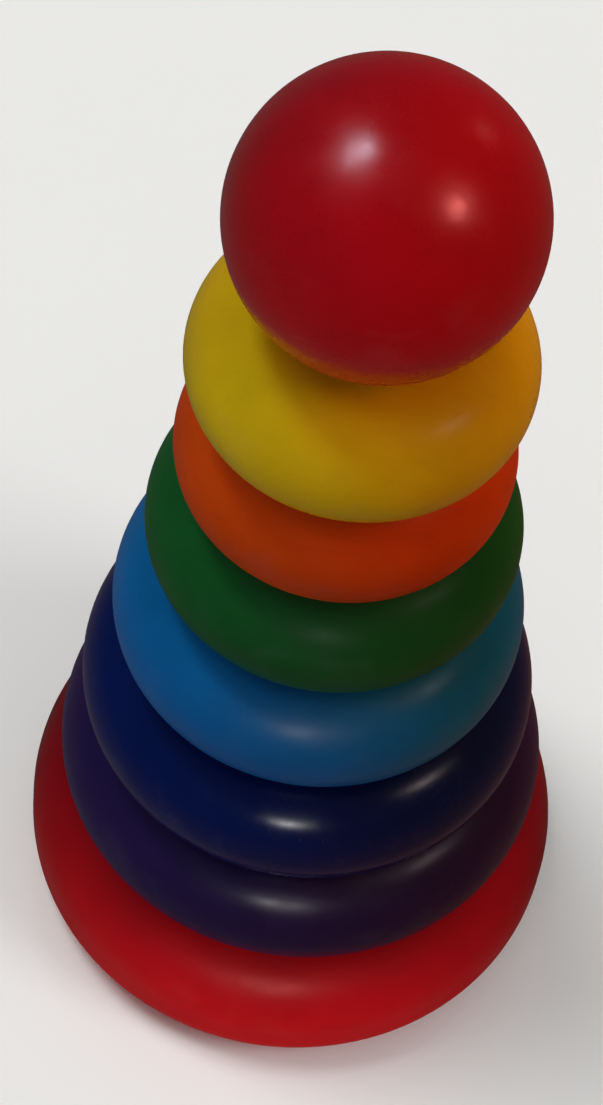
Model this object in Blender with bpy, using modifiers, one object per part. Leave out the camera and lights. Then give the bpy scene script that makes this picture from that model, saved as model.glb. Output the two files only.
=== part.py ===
"""Rainbow stacking tower: a wooden base and rod, six painted rings and a ball that lift off one by one.

The frame is +Z up, with the origin at the middle of the base's underside, in metres. Every piece is turned
about the same vertical axis, so every piece is a profile revolved round Z, and each one's origin lies on
that axis at its own lowest point. A piece is parented to the piece that it rests on.
"""

import math

import bpy

MM = 0.001

# Overall
BASE_DIAMETER = 108 * MM
BASE_THICKNESS = 27.4 * MM
BASE_UNDER_ROUND = 9 * MM  # rounding of the base's lower edge, tighter than that of its upper edge
RING_PITCH = 26.7 * MM  # height that each ring adds to the stack
BALL_DIAMETER = 54 * MM
REST_GAP = 0.3 * MM  # clearance left where one piece rests on another

# Rings, from the base up: name, outer diameter and paint
RINGS = (
    ("purple_ring", 97 * MM, "purple_paint"),
    ("dark_blue_ring", 88.5 * MM, "dark_blue_paint"),
    ("light_blue_ring", 78.5 * MM, "light_blue_paint"),
    ("green_ring", 70 * MM, "green_paint"),
    ("orange_ring", 61.5 * MM, "orange_paint"),
    ("yellow_ring", 61.5 * MM, "yellow_paint"),
)

# Rod and the holes that it goes through
ROD_DIAMETER = 12 * MM
ROD_TIP_ROUND = 4 * MM
ROD_IN_BASE = 19 * MM
ROD_IN_BALL = 25 * MM
RING_BORE = 14 * MM
BORE_EASE = 1 * MM  # 45 degree break on both edges of a bore
BALL_BORE = 13.6 * MM
BALL_BORE_DEPTH = 29 * MM
BALL_SEAT_DIAMETER = 18.4 * MM  # flat turned on the ball where it sits on the top ring

# Fineness
AROUND = 40  # sides of each turned piece
EDGE_STEPS = 8  # segments across a ring's rounded edge
BALL_STEPS = 14  # segments from the ball's top to its seat
TIP_STEPS = 4

# Paint: linear colour and roughness
PAINTS = {
    "red_paint": ((0.50, 0.012, 0.014), 0.30),
    "purple_paint": ((0.045, 0.016, 0.085), 0.32),
    "dark_blue_paint": ((0.010, 0.022, 0.130), 0.28),
    "light_blue_paint": ((0.012, 0.150, 0.480), 0.30),
    "green_paint": ((0.012, 0.120, 0.028), 0.32),
    "orange_paint": ((0.640, 0.085, 0.012), 0.34),
    "yellow_paint": ((0.700, 0.480, 0.015), 0.34),
}
BARE_WOOD = ((0.560, 0.370, 0.200), 0.60)


def clear_scene():
    for obj in list(bpy.data.objects):
        bpy.data.objects.remove(obj, do_unlink=True)


def surface(name, colour, roughness):
    material = bpy.data.materials.new(name)
    material.use_nodes = True
    shader = material.node_tree.nodes["Principled BSDF"]
    shader.inputs["Base Color"].default_value = (*colour, 1)
    shader.inputs["Roughness"].default_value = roughness
    shader.inputs["Metallic"].default_value = 0
    material.diffuse_color = (*colour, 1)
    return material


def arc(centre, radius, start, end, steps):
    """Points (r, z) of an arc. Angles are in degrees from the outward direction, counted up."""
    angles = [math.radians(start + (end - start) * i / steps) for i in range(steps + 1)]
    return [(centre[0] + radius * math.cos(a), centre[1] + radius * math.sin(a)) for a in angles]


def turned(name, profile, material, collection, closed):
    """A piece turned about Z from a profile of (r, z) points that runs down its outer side."""
    mesh = bpy.data.meshes.new(name)
    last = len(profile) - 1
    edges = [(i, i + 1) for i in range(last)]
    if closed:
        edges.append((last, 0))
    mesh.from_pydata([(r, 0, z) for r, z in profile], edges, [])
    mesh.materials.append(material)
    piece = bpy.data.objects.new(name, mesh)
    collection.objects.link(piece)
    screw = piece.modifiers.new("turn", "SCREW")
    screw.axis = "Z"
    screw.angle = math.tau
    screw.steps = AROUND
    screw.render_steps = AROUND
    screw.use_merge_vertices = True
    screw.merge_threshold = 0.00001
    screw.use_smooth_shade = True
    return piece


def place(piece, support, height):
    """Rests the piece on its support, that far above the support's own origin."""
    piece.parent = support
    piece.location = (0, 0, height)


def ring(name, diameter, paint, collection):
    """A thick disc with a fully rounded edge and a plain hole with eased edges."""
    thickness = RING_PITCH - REST_GAP
    edge = thickness / 2
    hole = RING_BORE / 2
    profile = arc((diameter / 2 - edge, edge), edge, 90, -90, EDGE_STEPS)
    profile += [
        (hole + BORE_EASE, 0),
        (hole, BORE_EASE),
        (hole, thickness - BORE_EASE),
        (hole + BORE_EASE, thickness),
    ]
    return turned(name, profile, paint, collection, closed=True)


def base_disc(paint, collection):
    """The foot of the tower: a wide disc with rounded edges, and a blind hole for the rod."""
    radius = BASE_DIAMETER / 2
    edge = BASE_THICKNESS / 2
    under = BASE_UNDER_ROUND
    hole = ROD_DIAMETER / 2 + REST_GAP
    floor = BASE_THICKNESS - ROD_IN_BASE - REST_GAP
    profile = [(0, floor), (hole, floor), (hole, BASE_THICKNESS)]
    profile += arc((radius - edge, edge), edge, 90, 0, EDGE_STEPS // 2)
    profile += arc((radius - under, under), under, 0, -90, EDGE_STEPS // 2)
    profile.append((0, 0))
    return turned("base_disc", profile, paint, collection, closed=False)


def rod(wood, collection):
    """A plain dowel with a rounded tip, from the base's blind hole up into the ball."""
    radius = ROD_DIAMETER / 2
    length = ROD_IN_BASE + len(RINGS) * RING_PITCH + ROD_IN_BALL
    profile = [(0, length)]
    profile += arc((radius - ROD_TIP_ROUND, length - ROD_TIP_ROUND), ROD_TIP_ROUND, 90, 0, TIP_STEPS)
    profile += [(radius, 0), (0, 0)]
    return turned("rod", profile, wood, collection, closed=False)


def ball(paint, collection):
    """A ball with a flat seat underneath and a blind hole that the rod's tip goes into."""
    radius = BALL_DIAMETER / 2
    hole = BALL_BORE / 2
    seat = BALL_SEAT_DIAMETER / 2
    centre = math.sqrt(radius**2 - seat**2)
    seat_angle = -math.degrees(math.asin(centre / radius))
    profile = arc((0, centre), radius, 90, seat_angle, BALL_STEPS)
    profile += [
        (hole + BORE_EASE, 0),
        (hole, BORE_EASE),
        (hole, BALL_BORE_DEPTH),
        (0, BALL_BORE_DEPTH),
    ]
    return turned("ball", profile, paint, collection, closed=False)


def main():
    clear_scene()
    collection = bpy.data.collections.new("rainbow_stacking_tower")
    bpy.context.scene.collection.children.link(collection)
    paints = {name: surface(name, *look) for name, look in PAINTS.items()}
    wood = surface("bare_wood", *BARE_WOOD)

    tower = bpy.data.objects.new("tower", None)
    collection.objects.link(tower)
    foot = base_disc(paints["red_paint"], collection)
    place(foot, tower, 0)
    place(rod(wood, collection), foot, BASE_THICKNESS - ROD_IN_BASE)

    support = foot
    height = BASE_THICKNESS + REST_GAP
    for name, diameter, paint in RINGS:
        piece = ring(name, diameter, paints[paint], collection)
        place(piece, support, height)
        support = piece
        height = RING_PITCH
    place(ball(paints["red_paint"], collection), support, height)


main()
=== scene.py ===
"""Looks of the rainbow stacking tower: turned, lacquered wooden pieces round a bare dowel.

Every visible piece is a fine turned mesh that stands for the CAD node of the same name. Each one's origin is
on the tower's axis at the piece's own underside, so its material reads millimetres from there.
"""

import math

import bpy
from mathutils import Matrix, Vector, noise


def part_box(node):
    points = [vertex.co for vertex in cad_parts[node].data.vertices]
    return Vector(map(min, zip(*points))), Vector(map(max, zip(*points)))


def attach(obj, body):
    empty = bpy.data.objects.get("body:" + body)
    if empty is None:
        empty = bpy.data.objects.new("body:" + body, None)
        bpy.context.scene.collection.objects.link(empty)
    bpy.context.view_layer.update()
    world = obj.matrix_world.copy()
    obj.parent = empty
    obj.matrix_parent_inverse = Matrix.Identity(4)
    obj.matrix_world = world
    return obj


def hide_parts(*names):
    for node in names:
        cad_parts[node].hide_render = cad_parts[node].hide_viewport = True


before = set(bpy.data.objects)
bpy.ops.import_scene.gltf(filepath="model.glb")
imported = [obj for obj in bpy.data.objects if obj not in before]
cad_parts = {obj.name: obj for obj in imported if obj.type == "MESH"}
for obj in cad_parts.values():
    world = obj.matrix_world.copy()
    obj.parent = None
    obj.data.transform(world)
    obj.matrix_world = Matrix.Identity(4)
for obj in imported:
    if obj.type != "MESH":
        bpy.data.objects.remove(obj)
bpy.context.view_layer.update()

MM = 0.001

# Shape of the pieces, where the frame's boxes don't give it
RING_BORE = 14 * MM
BALL_BORE = 13.6 * MM
BALL_BORE_DEPTH = 29 * MM
BALL_SEAT = 18.4 * MM
BASE_UNDER_ROUND = 9 * MM
ROD_RADIUS = 6 * MM
ROD_HOLE_DEPTH = 19 * MM
ROD_HOLE_EASE = 0.5 * MM
ROD_TIP_ROUND = 4 * MM
EASE = 1 * MM  # rounding of a hole's edge
SNUG = 0.05 * MM  # what the glued joint and a resting piece leave open
REST_GAP = 0.3 * MM  # the CAD's gap between resting pieces, closed here from above
DRILL_POINT = math.radians(31)  # slope of the hole's end that a drill leaves

# Fineness of the meshes
AROUND = 192
ROD_AROUND = 64
ROUND_STEPS = 36
BALL_STEPS = 84
TIP_STEPS = 12
EASE_STEPS = 6
FLAT_STEPS = 8

# Unevenness of hand-held sanding: wavelength and depth
WAVES = ((42 * MM, 0.10 * MM), (13 * MM, 0.045 * MM), (5 * MM, 0.010 * MM))

# Seeds that make every piece's unevenness and grain its own
FIRST_SEED, SEED_STEP, ROD_SEED = 3.1, 5.7, 51.0


# ---------------------------------------------------------------- turned shapes


def arc(centre, radius, start, end, steps):
    """Points (r, z) of an arc. Angles are in degrees from the outward direction, counted up."""
    angles = [math.radians(start + (end - start) * i / steps) for i in range(steps + 1)]
    return [(centre[0] + radius * math.cos(a), centre[1] + radius * math.sin(a)) for a in angles]


def run(start, end, steps):
    """Points strictly between two profile points."""
    return [
        tuple(a + (b - a) * i / steps for a, b in zip(start, end)) for i in range(1, steps)
    ]


def joined(*parts):
    """One profile out of arcs, with evenly spaced points on the straight stretches between them."""
    profile = []
    for part in parts:
        if profile:
            profile += run(profile[-1], part[0], FLAT_STEPS)
        profile += part
    return profile


def sanded(point, normal, seed):
    """The point, moved inwards by the unevenness of sanding."""
    depth = 0
    for i, (wavelength, amount) in enumerate(WAVES):
        sample = noise.noise(point / wavelength + Vector((seed, 7.3 * i, -seed)))
        depth += amount * (0.5 + 0.5 * sample)
    return point - normal * depth


def turned(name, profile, seed, around=AROUND, closed=True):
    """A closed mesh turned about Z. A profile that isn't closed starts and ends on the axis."""
    count = len(profile)
    verts, rows = [], []
    for i, (r, z) in enumerate(profile):
        before = profile[i - 1] if closed or i else profile[i]
        after = profile[(i + 1) % count] if closed or i < count - 1 else profile[i]
        tangent = Vector((after[0] - before[0], after[1] - before[1])).normalized()
        outward = (-tangent[1], tangent[0])
        if r < 1e-7:
            rows.append([len(verts)] * around)
            verts.append(sanded(Vector((0, 0, z)), Vector((0, 0, 1 if i == 0 else -1)), seed))
            continue
        row = []
        for j in range(around):
            c, s = math.cos(math.tau * j / around), math.sin(math.tau * j / around)
            row.append(len(verts))
            normal = Vector((outward[0] * c, outward[0] * s, outward[1]))
            verts.append(sanded(Vector((r * c, r * s, z)), normal, seed))
        rows.append(row)
    faces = []
    for i in range(count if closed else count - 1):
        upper, lower = rows[i], rows[(i + 1) % count]
        for j in range(around):
            k = (j + 1) % around
            corners = []
            for v in (upper[j], lower[j], lower[k], upper[k]):
                if v not in corners:
                    corners.append(v)
            faces.append(corners)
    mesh = bpy.data.meshes.new(name)
    mesh.from_pydata(verts, [], faces)
    mesh.validate()
    mesh.shade_smooth()
    piece = bpy.data.objects.new(name, mesh)
    bpy.context.scene.collection.objects.link(piece)
    return piece


def hole_edges(radius, height):
    """The eased upper and lower edges of a through hole, in the order that a profile meets them."""
    lower = arc((radius + EASE, EASE), EASE, -90, -180, EASE_STEPS)
    upper = arc((radius + EASE, height - EASE), EASE, 180, 90, EASE_STEPS)
    return lower, upper


def ring_profile(radius, height):
    edge = height / 2
    lower, upper = hole_edges(RING_BORE / 2, height)
    outer = arc((radius - edge, edge), edge, 90, -90, ROUND_STEPS)
    return joined(outer, lower, upper, outer[:1])[:-1]


def base_profile(radius, height):
    edge = height / 2
    under = BASE_UNDER_ROUND
    hole = ROD_RADIUS + SNUG
    ease = ROD_HOLE_EASE
    bottom = height - ROD_HOLE_DEPTH - SNUG
    return joined(
        [(0, bottom), (hole, bottom)],
        arc((hole + ease, height - ease), ease, 180, 90, 4),
        arc((radius - edge, edge), edge, 90, 0, ROUND_STEPS // 2),
        arc((radius - under, under), under, 0, -90, ROUND_STEPS // 2),
        [(0, 0)],
    )


def ball_profile(radius):
    seat = BALL_SEAT / 2
    hole = BALL_BORE / 2
    centre = math.sqrt(radius**2 - seat**2)
    low = -math.degrees(math.asin(centre / radius))
    return joined(
        arc((0, centre), radius, 90, low, BALL_STEPS),
        arc((hole + EASE, EASE), EASE, -90, -180, EASE_STEPS),
        [(hole, BALL_BORE_DEPTH), (0, BALL_BORE_DEPTH + hole * math.tan(DRILL_POINT))],
    )


def rod_profile(radius, length):
    tip = arc((radius - ROD_TIP_ROUND, length - ROD_TIP_ROUND), ROD_TIP_ROUND, 90, 0, TIP_STEPS)
    return joined([(0, length)], tip, [(radius, 0), (0, 0)])


# ---------------------------------------------------------------- materials


class Nodes:
    """Builds a material's node tree with few words."""

    def __init__(self, name):
        self.material = bpy.data.materials.new(name)
        self.material.use_nodes = True
        self.tree = self.material.node_tree
        self.shader = self.tree.nodes["Principled BSDF"]

    def add(self, kind, inputs=(), **settings):
        made = self.tree.nodes.new("ShaderNode" + kind)
        for key, value in settings.items():
            setattr(made, key, value)
        for socket, value in dict(inputs).items():
            self.set(made.inputs[socket], value)
        return made

    def set(self, socket, value):
        if isinstance(value, bpy.types.NodeSocket):
            self.tree.links.new(value, socket)
        else:
            socket.default_value = value

    def math(self, operation, *values, clamp=False):
        return self.add("Math", dict(enumerate(values)), operation=operation, use_clamp=clamp).outputs[0]

    def vector(self, operation, *values):
        made = self.add("VectorMath", dict(enumerate(values)), operation=operation)
        return made.outputs["Value" if operation == "LENGTH" else "Vector"]

    def noise(self, vector, scale, detail=2, rough=0.5, distortion=0):
        inputs = {"Vector": vector, "Scale": scale, "Detail": detail}
        inputs |= {"Roughness": rough, "Distortion": distortion}
        return self.add("TexNoise", inputs).outputs["Fac"]

    def remap(self, value, low, high, to_low=0.0, to_high=1.0):
        inputs = {"Value": value, 1: low, 2: high, 3: to_low, 4: to_high}
        return self.add("MapRange", inputs, interpolation_type="SMOOTHSTEP").outputs["Result"]

    def mix(self, factor, a, b):
        made = self.add("Mix", data_type="RGBA")
        self.set(made.inputs[0], factor)
        self.set(made.inputs[6], a)
        self.set(made.inputs[7], b)
        return made.outputs[2]


def rgba(colour, gain=1.0):
    return (*[min(1.0, c * gain) for c in colour], 1)


MICRON = 0.001 * MM

WOOD = (0.560, 0.370, 0.200)
WOOD_FIBRE = (0.40, 0.24, 0.11)
WOOD_PORE = (0.20, 0.11, 0.05)
WOOD_RING = (0.36, 0.20, 0.09)


def wood_colour(n, point, along):
    """Bare hardwood: growth bands, fine fibres and short dark pores that run one way."""
    band_scale = [55 if a else 190 for a in along]
    fibre_scale = [25 if a else 1500 for a in along]
    pore_scale = [160 if a else 2600 for a in along]
    bands = n.noise(n.vector("MULTIPLY", point, band_scale), 1, 3, 0.55, 0.6)
    fibres = n.noise(n.vector("MULTIPLY", point, fibre_scale), 1, 3, 0.6)
    pores = n.noise(n.vector("MULTIPLY", point, pore_scale), 1, 1)
    colour = n.mix(n.remap(bands, 0.35, 0.65), rgba(WOOD, 0.80), rgba(WOOD, 1.12))
    colour = n.mix(n.remap(fibres, 0.40, 0.75, 0, 0.45), colour, rgba(WOOD_FIBRE))
    pore = n.remap(pores, 0.66, 0.74)
    return n.mix(n.math("MULTIPLY", pore, 0.6), colour, rgba(WOOD_PORE)), fibres, pore


def lacquer(name, colour, roughness, specular, seed, height, bore, widest):
    """Satin-gloss paint on turned wood, bare inside the hole.

    The grain, which runs along X, just shows through the paint. The widest part of the edge, which is what
    gets knocked and handled, is a little rubbed.
    """
    n = Nodes(name)
    local = n.add("TexCoord").outputs["Object"]
    point = n.vector("ADD", local, (seed * 1.7, seed * -0.9, seed * 0.4))
    z = n.add("SeparateXYZ", {0: local}).outputs["Z"]
    out = n.vector("LENGTH", n.vector("MULTIPLY", local, (1, 1, 0)))

    # Paint colour: broad clouding of the coat, and grain that shows as slightly darker lines
    cloud = n.noise(point, 38, 3, 0.55)
    grain = n.noise(n.vector("MULTIPLY", point, (16, 330, 330)), 1, 4, 0.55, 0.8)
    fine = n.noise(n.vector("MULTIPLY", point, (70, 1900, 1900)), 1, 2, 0.6)
    paint = n.mix(n.remap(cloud, 0.30, 0.70), rgba(colour, 0.90), rgba(colour, 1.07))
    paint = n.mix(n.remap(grain, 0.50, 0.74, 0, 0.16), paint, rgba(colour, 0.62))
    paint = n.mix(n.remap(fine, 0.62, 0.78, 0, 0.14), paint, rgba(colour, 0.45))

    # Rubbed band round the widest part, patchy
    band = n.remap(out, widest - 3.2 * MM, widest - 0.2 * MM)
    patch = n.noise(point, 120, 4, 0.6)
    rub = n.math("MULTIPLY", band, n.remap(patch, 0.50, 0.72))
    paint = n.mix(n.math("MULTIPLY", rub, 0.22), paint, rgba([0.75 * c + 0.05 for c in colour]))

    # Bare wood inside the hole, with a ragged edge to the paint
    wood, fibres, _ = wood_colour(n, point, (True, False, False))
    ragged = n.math("MULTIPLY", n.math("SUBTRACT", n.noise(point, 420, 3), 0.5), 3.0 * MM)
    deep = n.math("MINIMUM", z, n.math("SUBTRACT", height, z))
    deep = n.remap(n.math("ADD", deep, ragged), 2.6 * MM, 3.4 * MM)
    in_hole = n.math("MULTIPLY", n.remap(out, bore + 0.25 * MM, bore + 0.6 * MM, 1, 0), deep)
    n.set(n.shader.inputs["Base Color"], n.mix(in_hole, paint, wood))

    # Gloss: cloudy, duller where rubbed, dull on bare wood, with a few fine hairline scuffs
    smear = n.noise(point, 75, 4, 0.6)
    slanted = n.add("VectorRotate", {"Vector": point, "Axis": (0.3, 0.5, 0.8), "Angle": 0.7}).outputs[0]
    hair = n.noise(n.vector("MULTIPLY", slanted, (900, 60, 240)), 1, 2)
    rough = n.remap(smear, 0.30, 0.72, roughness - 0.05, roughness + 0.09)
    rough = n.math("ADD", rough, n.remap(hair, 0.68, 0.78, 0, 0.07))
    rough = n.math("ADD", rough, n.math("MULTIPLY", rub, 0.14))
    rough = n.math("MAXIMUM", rough, n.math("MULTIPLY", in_hole, 0.68), clamp=True)
    n.set(n.shader.inputs["Roughness"], rough)
    n.set(n.shader.inputs["Specular IOR Level"], specular)

    # Relief in microns: orange peel of the sprayed coat, and the grain under it
    peel = n.noise(point, 620, 2, 0.4)
    relief = n.math("MULTIPLY", peel, 5.0)
    relief = n.math("SUBTRACT", relief, n.math("MULTIPLY", n.remap(grain, 0.46, 0.76), 6.0))
    relief = n.math("SUBTRACT", relief, n.math("MULTIPLY", n.remap(fine, 0.60, 0.80), 3.0))
    relief = n.math("SUBTRACT", relief, n.math("MULTIPLY", n.math("MULTIPLY", in_hole, fibres), 30.0))
    bump = n.add("Bump", {"Strength": 1.0, "Distance": MICRON, "Height": relief})
    n.set(n.shader.inputs["Normal"], bump.outputs[0])
    return n.material


def dowel_wood(name):
    """Sanded bare dowel, with its grain along the rod and growth rings on its end."""
    n = Nodes(name)
    point = n.add("TexCoord").outputs["Object"]
    colour, fibres, pore = wood_colour(n, point, (False, False, True))
    off_heart = n.vector("ADD", point, (19 * MM, 7 * MM, 0))
    waves = {"Vector": off_heart, "Scale": 110, "Distortion": 2.2, "Detail": 2}
    rings = n.add("TexWave", waves, wave_type="RINGS", rings_direction="Z").outputs["Fac"]
    colour = n.mix(n.remap(rings, 0.55, 0.95, 0, 0.35), colour, rgba(WOOD_RING))
    n.set(n.shader.inputs["Base Color"], colour)
    n.set(n.shader.inputs["Roughness"], n.remap(fibres, 0.3, 0.7, 0.52, 0.68))
    relief = n.math("ADD", n.math("MULTIPLY", fibres, 18.0), n.math("MULTIPLY", pore, -25.0))
    bump = n.add("Bump", {"Strength": 1.0, "Distance": MICRON, "Height": relief})
    n.set(n.shader.inputs["Normal"], bump.outputs[0])
    return n.material


def table_top(name):
    """Plain pale matt surface with the faintest clouding."""
    n = Nodes(name)
    point = n.add("TexCoord").outputs["Object"]
    cloud = n.noise(point, 9, 3)
    n.set(n.shader.inputs["Base Color"], n.mix(cloud, (0.84, 0.835, 0.825, 1), (0.88, 0.875, 0.865, 1)))
    n.set(n.shader.inputs["Roughness"], n.remap(cloud, 0.3, 0.7, 0.55, 0.65))
    return n.material


# ---------------------------------------------------------------- the tower

# Piece: body, material slot, paint colour, roughness, specular level
PAINTED = {
    "base_disc": ("base", "red_paint", (0.58, 0.007, 0.015), 0.40, 0.42),
    "purple_ring": ("purple", "purple_paint", (0.019, 0.0068, 0.050), 0.34, 0.36),
    "dark_blue_ring": ("dark_blue", "dark_blue_paint", (0.0014, 0.0068, 0.067), 0.20, 0.35),
    "light_blue_ring": ("light_blue", "light_blue_paint", (0.0036, 0.12, 0.31), 0.38, 0.38),
    "green_ring": ("green", "green_paint", (0.009, 0.093, 0.016), 0.42, 0.21),
    "orange_ring": ("orange", "orange_paint", (0.65, 0.060, 0.003), 0.42, 0.12),
    "yellow_ring": ("yellow", "yellow_paint", (0.74, 0.46, 0.005), 0.30, 0.16),
    "ball": ("ball", "red_paint", (0.43, 0.0020, 0.0055), 0.26, 0.37),
}

# Where each loose piece has come to rest within its hole's play on the rod, in millimetres off the axis
RESTS_AT = {
    "purple_ring": (-0.1, 0.1),
    "dark_blue_ring": (-0.8, -0.3),
    "light_blue_ring": (-0.9, 0.1),
    "green_ring": (-0.3, 0.9),
    "orange_ring": (-0.3, -0.6),
    "yellow_ring": (0.2, -0.9),
    "ball": (0.5, -0.5),
}


def stand_in(piece, node, body, low):
    """Puts the finished piece at its place and lets it stand for the CAD node."""
    x, y = RESTS_AT.get(node, (0, 0))
    piece.location = (x * MM, y * MM, low)
    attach(piece, body)
    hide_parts(node)


def painted_piece(number, node):
    body, slot, colour, roughness, specular = PAINTED[node]
    lo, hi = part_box(node)
    radius = (hi.x - lo.x) / 2
    low = lo.z
    if node != "base_disc":
        low -= REST_GAP - SNUG
    height = hi.z - low
    seed = FIRST_SEED + SEED_STEP * number
    bore = RING_BORE / 2
    if node == "base_disc":
        profile, closed, bore = base_profile(radius, height), False, ROD_RADIUS
    elif node == "ball":
        profile, closed = ball_profile(radius), False
    else:
        profile, closed = ring_profile(radius, height), True
    piece = turned(node + "_lacquered", profile, seed, closed=closed)
    paint = lacquer(node + "_lacquer", colour, roughness, specular, seed, height, bore, radius)
    piece.data.materials.append(paint)
    stand_in(piece, node, body, low)
    return piece


def dowel():
    lo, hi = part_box("rod")
    profile = rod_profile((hi.x - lo.x) / 2, hi.z - lo.z)
    piece = turned("rod_dowel", profile, ROD_SEED, around=ROD_AROUND, closed=False)
    piece.data.materials.append(dowel_wood("dowel_wood"))
    stand_in(piece, "rod", "base", lo.z)
    return piece


tower = [painted_piece(number, node) for number, node in enumerate(PAINTED)]
tower.append(dowel())


# ---------------------------------------------------------------- floor, light and camera


FLOOR_RADIUS = 4
FLOOR_SIDES = 64
FLOOR_DROP = 0.2 * MM  # how far the floor lies under the base


def floor():
    angles = [math.tau * i / FLOOR_SIDES for i in range(FLOOR_SIDES)]
    verts = [(FLOOR_RADIUS * math.cos(a), FLOOR_RADIUS * math.sin(a), 0) for a in angles]
    mesh = bpy.data.meshes.new("floor")
    mesh.from_pydata(verts, [], [range(FLOOR_SIDES)])
    mesh.materials.append(table_top("pale_table"))
    piece = bpy.data.objects.new("floor", mesh)
    bpy.context.scene.collection.objects.link(piece)
    piece.location = (0, 0, -FLOOR_DROP)
    # The tower is lit from below too, so the floor neither shades it nor shines on it
    piece.visible_glossy = False
    piece.visible_diffuse = False
    piece.visible_shadow = False
    return piece


# Distant lamps that only the paint's own colour shows: azimuth from +X, elevation and apparent width in
# degrees, linear light, and the pieces lit
PAINT_LAMPS = {
    "low_left_paint": (-138, 8, 28, (0.05, 0.11, 0.17), "loose"),
    "left_paint": (-145, 40, 28, (0.05, 0.06, 0.09), "rings"),
    "low_front_paint": (-90, 8, 28, (0.15, 0.10, 0.065), "loose"),
    "under_ball_paint": (-105, -25, 28, (0.22, 0.15, 0.23), "ball"),
    "under_rings_paint": (-120, -25, 28, (0.07, 0.06, 0.11), "rings"),
    "back_right_paint": (30, 8, 28, (0.23, 0.23, 0.17), "loose"),
    "right_paint": (0, 38, 28, (0.28, 0.10, 0.0), "loose"),
    "high_left_paint": (158, 66, 12, (0.20, 0.25, 0.25), "loose"),
    "high_front_paint": (-150, 66, 20, (0.12, 0.11, 0.12), "loose"),
    "high_back_paint": (90, 66, 30, (0.18, 0.04, 0.0), "loose"),
    "back_rings_paint": (90, 5, 50, (0.26, 0.26, 0.26), "rings"),
    "back_left_rings_paint": (130, -5, 50, (0.09, 0.09, 0.09), "rings"),
    "front_base": (-90, 50, 28, (0.16, 0.12, 0.11), "base"),
    "low_front_base": (-90, 8, 28, (0.25, 0.17, 0.11), "base"),
    "under_front_base": (-95, -25, 28, (0.30, 0.20, 0.20), "base"),
    "overhead_base": (0, 90, 40, (0.12, 0.09, 0.08), "base"),
    "back_base": (60, 30, 40, (0.09, 0.06, 0.05), "base"),
    "back_left_base": (115, -5, 40, (0.09, 0.06, 0.055), "base"),
}
# The same for the table's lamps, which light nothing else
TABLE_LAMPS = {
    "high_left_table": (158, 66, 24, (0.44, 0.44, 0.435)),
    "right_table": (-16, 42, 24, (0.29, 0.29, 0.285)),
    "overhead_table": (0, 90, 120, (0.36, 0.36, 0.355)),
}
FAR = 10  # metres to a distant disc

# Small bright lamps that only the gloss shows: direction, distance, aimed at, watts, colour, size in metres,
# and the pieces lit
BALL_CENTRE = (0, 0, 0.213)
LOW_FRONT = (0, -0.045, 0.05)
LEFT, RIGHT, FRONT = (-0.37, 0.15, 0.92), (0.71, -0.21, 0.67), (0.03, -0.82, 0.57)
GLINT_DISCS = {
    "left_glint": (LEFT, 0.85, BALL_CENTRE, 2.5, (0.68, 0.85, 1.0), 0.13, "ball"),
    "left_low_glint": ((-0.47, 0.02, 0.88), 0.85, BALL_CENTRE, 0.8, (0.80, 0.80, 1.0), 0.15, "ball"),
    "right_ball_glint": (RIGHT, 0.85, BALL_CENTRE, 2.7, (1.0, 0.28, 0.25), 0.17, "ball"),
    "right_ring_glint": (RIGHT, 0.85, BALL_CENTRE, 0.45, (1.0, 0.84, 0.82), 0.06, "rings"),
    "back_glint": ((0.62, 0.71, 0.33), 1.0, BALL_CENTRE, 0.14, (1.0, 0.35, 0.30), 0.06, "ball"),
}
GLINT_BEAMS = {
    "front_glint": (FRONT, 0.8, LOW_FRONT, 4.2, (1.0, 0.98, 0.98), 0.05, "rings"),
    "front_base_glint": (FRONT, 0.8, LOW_FRONT, 8.0, (1.0, 0.34, 0.31), 0.06, "base"),
}
BEAM_WIDTH = math.radians(13)  # narrow, so that it doesn't reach above the green ring
BEAM_BLEND = 0.5

# What the gloss mirrors of the room, as linear light: left and right, of its upper and its lower half
ROOM = {
    "upper": ((0.04, 0.07, 0.13), (0.09, 0.055, 0.07)),
    "lower": ((0.11, 0.09, 0.09), (0.14, 0.06, 0.055)),
}
LEFT_TO_RIGHT = (-0.5, 0.6)  # where along X, in a direction of length 1, left turns to right
LOWER_TO_UPPER = (-0.5, 0.15)
PAST_FLOOR = (0.81, 0.807, 0.795)


def lamp(name, kind, toward, place, power, colour, **settings):
    data = bpy.data.lights.new(name, kind)
    data.energy = power
    data.color = colour
    for key, value in settings.items():
        setattr(data, key, value)
    light = bpy.data.objects.new(name, data)
    bpy.context.scene.collection.objects.link(light)
    light.location = place
    light.rotation_mode = "QUATERNION"
    light.rotation_quaternion = toward.to_track_quat("Z", "Y")
    return light


def far_lamp(name, azimuth, elevation, width, light, sun=False):
    """A wide lamp so far off that it lights everything alike.

    Only the table's are suns. The tower's are distant discs, because when suns fall on different pieces
    Cycles leaves some of them out, and not the same ones in every render.
    """
    around, up = math.radians(azimuth), math.radians(elevation)
    toward = Vector((math.cos(around) * math.cos(up), math.sin(around) * math.cos(up), math.sin(up)))
    strength = max(light)
    colour = [part / strength for part in light]
    half = math.radians(width) / 2
    if sun:
        made = lamp(name, "SUN", toward, toward, math.pi * strength, colour, angle=2 * half)
    else:
        power = strength * (math.pi * FAR / math.cos(half)) ** 2
        disc = {"shape": "DISK", "size": 2 * FAR * math.tan(half)}
        made = lamp(name, "AREA", toward, toward * FAR, power, colour, **disc)
        made.visible_camera = False
    # Otherwise some of its mirror image leaks through as if it were diffuse light
    made.data.cycles.use_multiple_importance_sampling = False
    return made


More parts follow.
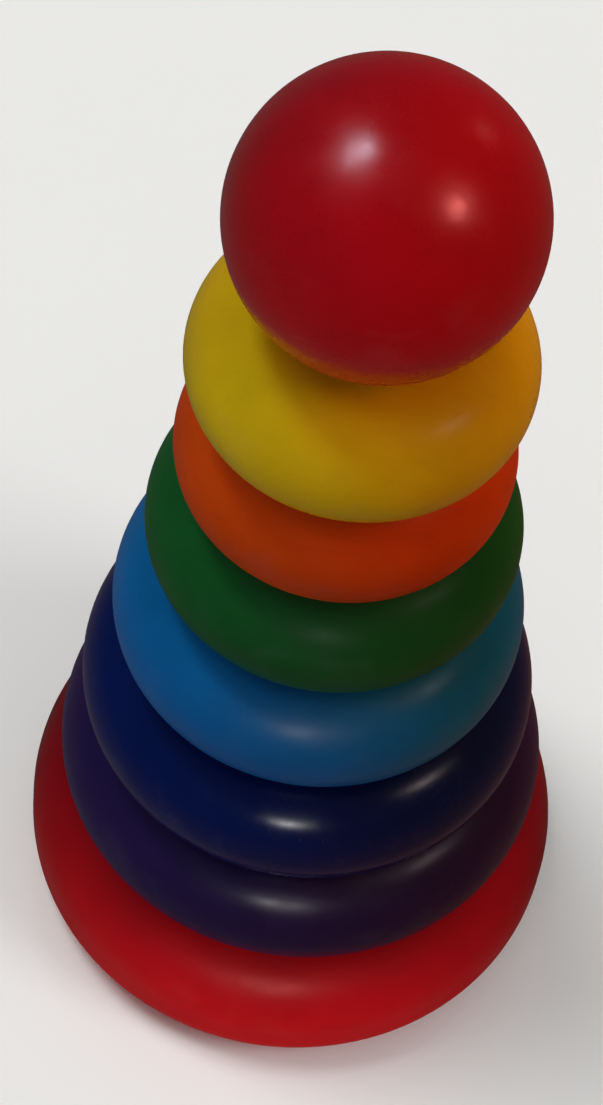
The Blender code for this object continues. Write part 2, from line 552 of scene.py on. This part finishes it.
def near_lamp(name, toward, distance, target, power, colour, size, beam):
    """A small disc, or a narrow beam."""
    toward = Vector(toward).normalized()
    place = Vector(target) + toward * distance
    if beam:
        spot = {"spot_size": BEAM_WIDTH, "spot_blend": BEAM_BLEND, "shadow_soft_size": size / 2}
        return lamp(name, "SPOT", toward, place, power, colour, **spot)
    return lamp(name, "AREA", toward, place, power, colour, shape="DISK", size=size)


def only_for(light, pieces):
    """The light falls on those pieces alone. Everything still casts its shadow."""
    group = bpy.data.collections.new(light.name + "_falls_on")
    for piece in pieces:
        group.objects.link(piece)
    light.light_linking.receiver_collection = group


def lights(tower, table):
    """A soft cool light from the left and a warm one from the right, with small bright lamps among them.

    The paint's own colour and the image of a lamp on the gloss come from separate lamps. The base, the rings
    and the ball each have some of their own, and the table has neutral ones.
    """
    base = [piece for piece in tower if piece.name.startswith("base_disc")]
    ball = [piece for piece in tower if piece.name.startswith("ball")]
    rings = [piece for piece in tower if piece not in base + ball]
    lit = {"base": base, "rings": rings, "ball": ball, "loose": rings + ball}
    for name, (*settings, pieces) in PAINT_LAMPS.items():
        light = far_lamp(name, *settings)
        light.visible_glossy = False
        only_for(light, lit[pieces])
    for name, (*settings, pieces) in (GLINT_DISCS | GLINT_BEAMS).items():
        light = near_lamp(name, *settings, beam=name in GLINT_BEAMS)
        light.visible_diffuse = False
        only_for(light, lit[pieces])
    for name, settings in TABLE_LAMPS.items():
        only_for(far_lamp(name, *settings, sun=True), [table])


def surroundings():
    """A dim room that only gloss mirrors. What the camera sees past the floor is as pale as the floor."""
    world = bpy.data.worlds.new("room")
    world.use_nodes = True
    bpy.context.scene.world = world
    world.cycles_visibility.diffuse = False
    tree = world.node_tree

    def blend(axis, span, ends):
        """One colour or the other, by how far the direction reaches along that axis."""
        across = tree.nodes.new("ShaderNodeMapRange")
        across.interpolation_type = "SMOOTHSTEP"
        across.inputs["From Min"].default_value, across.inputs["From Max"].default_value = span
        tree.links.new(parts.outputs[axis], across.inputs["Value"])
        mixed = tree.nodes.new("ShaderNodeMix")
        mixed.data_type = "RGBA"
        tree.links.new(across.outputs["Result"], mixed.inputs[0])
        for socket, end in zip((6, 7), ends):
            if isinstance(end, bpy.types.NodeSocket):
                tree.links.new(end, mixed.inputs[socket])
            else:
                mixed.inputs[socket].default_value = (*end, 1)
        return mixed.outputs[2]

    direction = tree.nodes.new("ShaderNodeTexCoord")
    parts = tree.nodes.new("ShaderNodeSeparateXYZ")
    tree.links.new(direction.outputs["Generated"], parts.inputs[0])
    halves = [blend("X", LEFT_TO_RIGHT, ROOM[half]) for half in ("lower", "upper")]
    room = tree.nodes["Background"]
    tree.links.new(blend("Z", LOWER_TO_UPPER, halves), room.inputs["Color"])
    seen = tree.nodes.new("ShaderNodeBackground")
    seen.inputs["Color"].default_value = (*PAST_FLOOR, 1)
    path = tree.nodes.new("ShaderNodeLightPath")
    mix = tree.nodes.new("ShaderNodeMixShader")
    tree.links.new(path.outputs["Is Camera Ray"], mix.inputs[0])
    tree.links.new(room.outputs[0], mix.inputs[1])
    tree.links.new(seen.outputs[0], mix.inputs[2])
    tree.links.new(mix.outputs[0], tree.nodes["World Output"].inputs["Surface"])


def matrix(x, y, z, origin):
    rows = [(x[i], y[i], z[i], origin[i]) for i in range(3)]
    return Matrix((*rows, (0, 0, 0, 1)))


def camera():
    """Looks down at the tower from the front, tilted a little, so that the tower leans to the right."""
    place = Vector((0, -351, 663.5)) * MM
    aim = Vector((-5.35, 0, 108.8)) * MM
    tilt = math.radians(8.3)
    forward = (aim - place).normalized()
    level = forward.cross(Vector((0, 0, 1))).normalized()
    upright = level.cross(forward)
    right = level * math.cos(tilt) + upright * math.sin(tilt)
    up = right.cross(forward)
    data = bpy.data.cameras.new("camera")
    data.lens = 114.7
    data.sensor_width = 36
    data.clip_start = 0.01
    data.clip_end = 50
    eye = bpy.data.objects.new("camera", data)
    bpy.context.scene.collection.objects.link(eye)
    eye.matrix_world = matrix(right, up, -forward, place)
    bpy.context.scene.camera = eye


table = floor()
lights(tower, table)
surroundings()
camera()
bpy.context.scene.view_settings.view_transform = "Standard"
